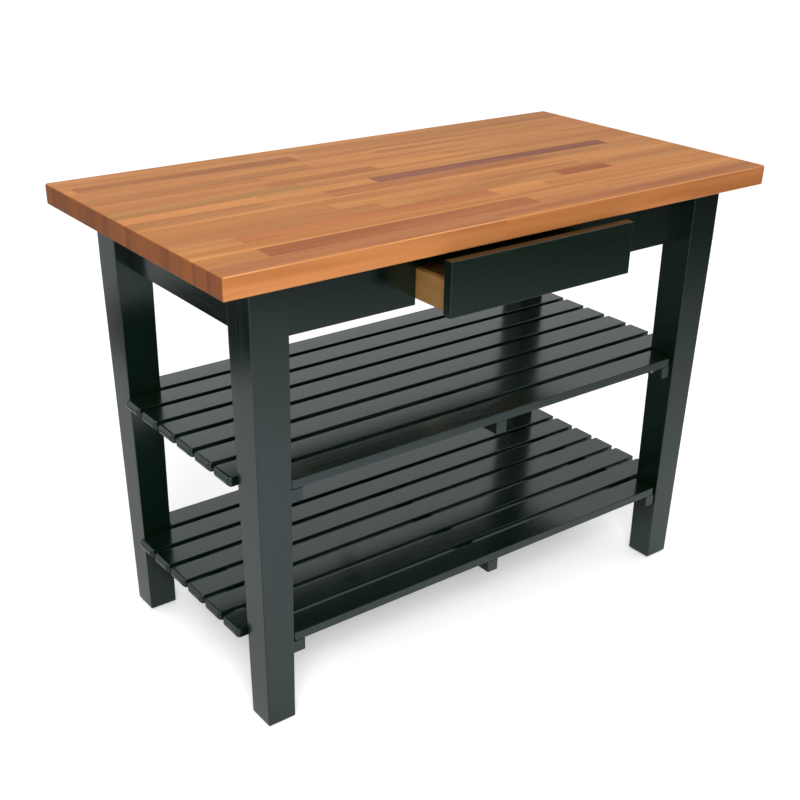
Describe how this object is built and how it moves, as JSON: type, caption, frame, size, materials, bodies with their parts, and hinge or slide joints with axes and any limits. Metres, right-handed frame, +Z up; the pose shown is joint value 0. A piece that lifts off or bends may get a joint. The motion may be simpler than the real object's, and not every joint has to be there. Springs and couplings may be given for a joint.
{
  "type": "butcher block table",
  "caption": "Kitchen work table with a thick edge-glued wood top, black painted tapered legs and aprons, a sliding drawer and slatted shelves below.",
  "frame": {"origin": "on the floor, under the middle of the table's overall box with the drawer standing open 87 mm; the centre of the top is 14.9 mm behind it", "axes": "+X along the length towards the right end as seen from the drawer side, -Y towards the drawer side, +Z up"},
  "size_m": [1.219, 0.6648, 0.889],
  "materials": {
    "cherry_block": "oiled cherry staves with a satin sheen, end grain at the short ends",
    "black_paint": "smooth gloss black paint over hardwood",
    "maple_box": "clear satin lacquer",
    "beech_inner": "bare planed wood",
    "zinc_steel": "bright zinc plate"
  },
  "bodies": {
    "table": {"butcher_block_top": "cherry_block", "apron_front": "black_paint", "apron_back": "black_paint", "apron_left": "black_paint", "apron_right": "black_paint", "leg_front_left": "black_paint", "leg_front_right": "black_paint", "leg_back_left": "black_paint", "leg_back_right": "black_paint", "corner_block_front_left": "beech_inner", "corner_block_front_right": "beech_inner", "corner_block_back_left": "beech_inner", "corner_block_back_right": "beech_inner", "hanger_bolts": "zinc_steel", "hanger_washers": "zinc_steel", "hanger_nuts": "zinc_steel", "corner_block_screws": "zinc_steel", "top_brackets": "zinc_steel", "top_bracket_screws": "zinc_steel", "upper_slat_1": "black_paint", "upper_slat_2": "black_paint", "upper_slat_3": "black_paint", "upper_slat_4": "black_paint", "upper_slat_5": "black_paint", "upper_slat_6": "black_paint", "upper_slat_7": "black_paint", "upper_slat_8": "black_paint", "lower_slat_1": "black_paint", "lower_slat_2": "black_paint", "lower_slat_3": "black_paint", "lower_slat_4": "black_paint", "lower_slat_5": "black_paint", "lower_slat_6": "black_paint", "lower_slat_7": "black_paint", "lower_slat_8": "black_paint", "upper_cleat_left": "black_paint", "upper_cleat_middle": "black_paint", "upper_cleat_right": "black_paint", "lower_cleat_left": "black_paint", "lower_cleat_middle": "black_paint", "lower_cleat_right": "black_paint", "upper_slat_screws": "zinc_steel", "lower_slat_screws": "zinc_steel", "upper_cleat_bolts": "zinc_steel", "lower_cleat_bolts": "zinc_steel", "drawer_runner_left": "beech_inner", "drawer_runner_right": "beech_inner", "drawer_kicker_left": "beech_inner", "drawer_kicker_right": "beech_inner", "kicker_screws": "zinc_steel"},
    "drawer": {"drawer_front": "black_paint", "drawer_box_front": "maple_box", "drawer_back": "maple_box", "drawer_bottom": "maple_box", "drawer_side_left": "maple_box", "drawer_side_right": "maple_box", "drawer_front_screws": "zinc_steel", "drawer_stop": "beech_inner", "drawer_stop_screw": "zinc_steel"}
  },
  "joints": [
    {"name": "drawer_slide", "type": "slide", "parent": "table", "child": "drawer", "axis": [0, -1, 0], "range_m": [-0.087, 0.26]}
  ]
}
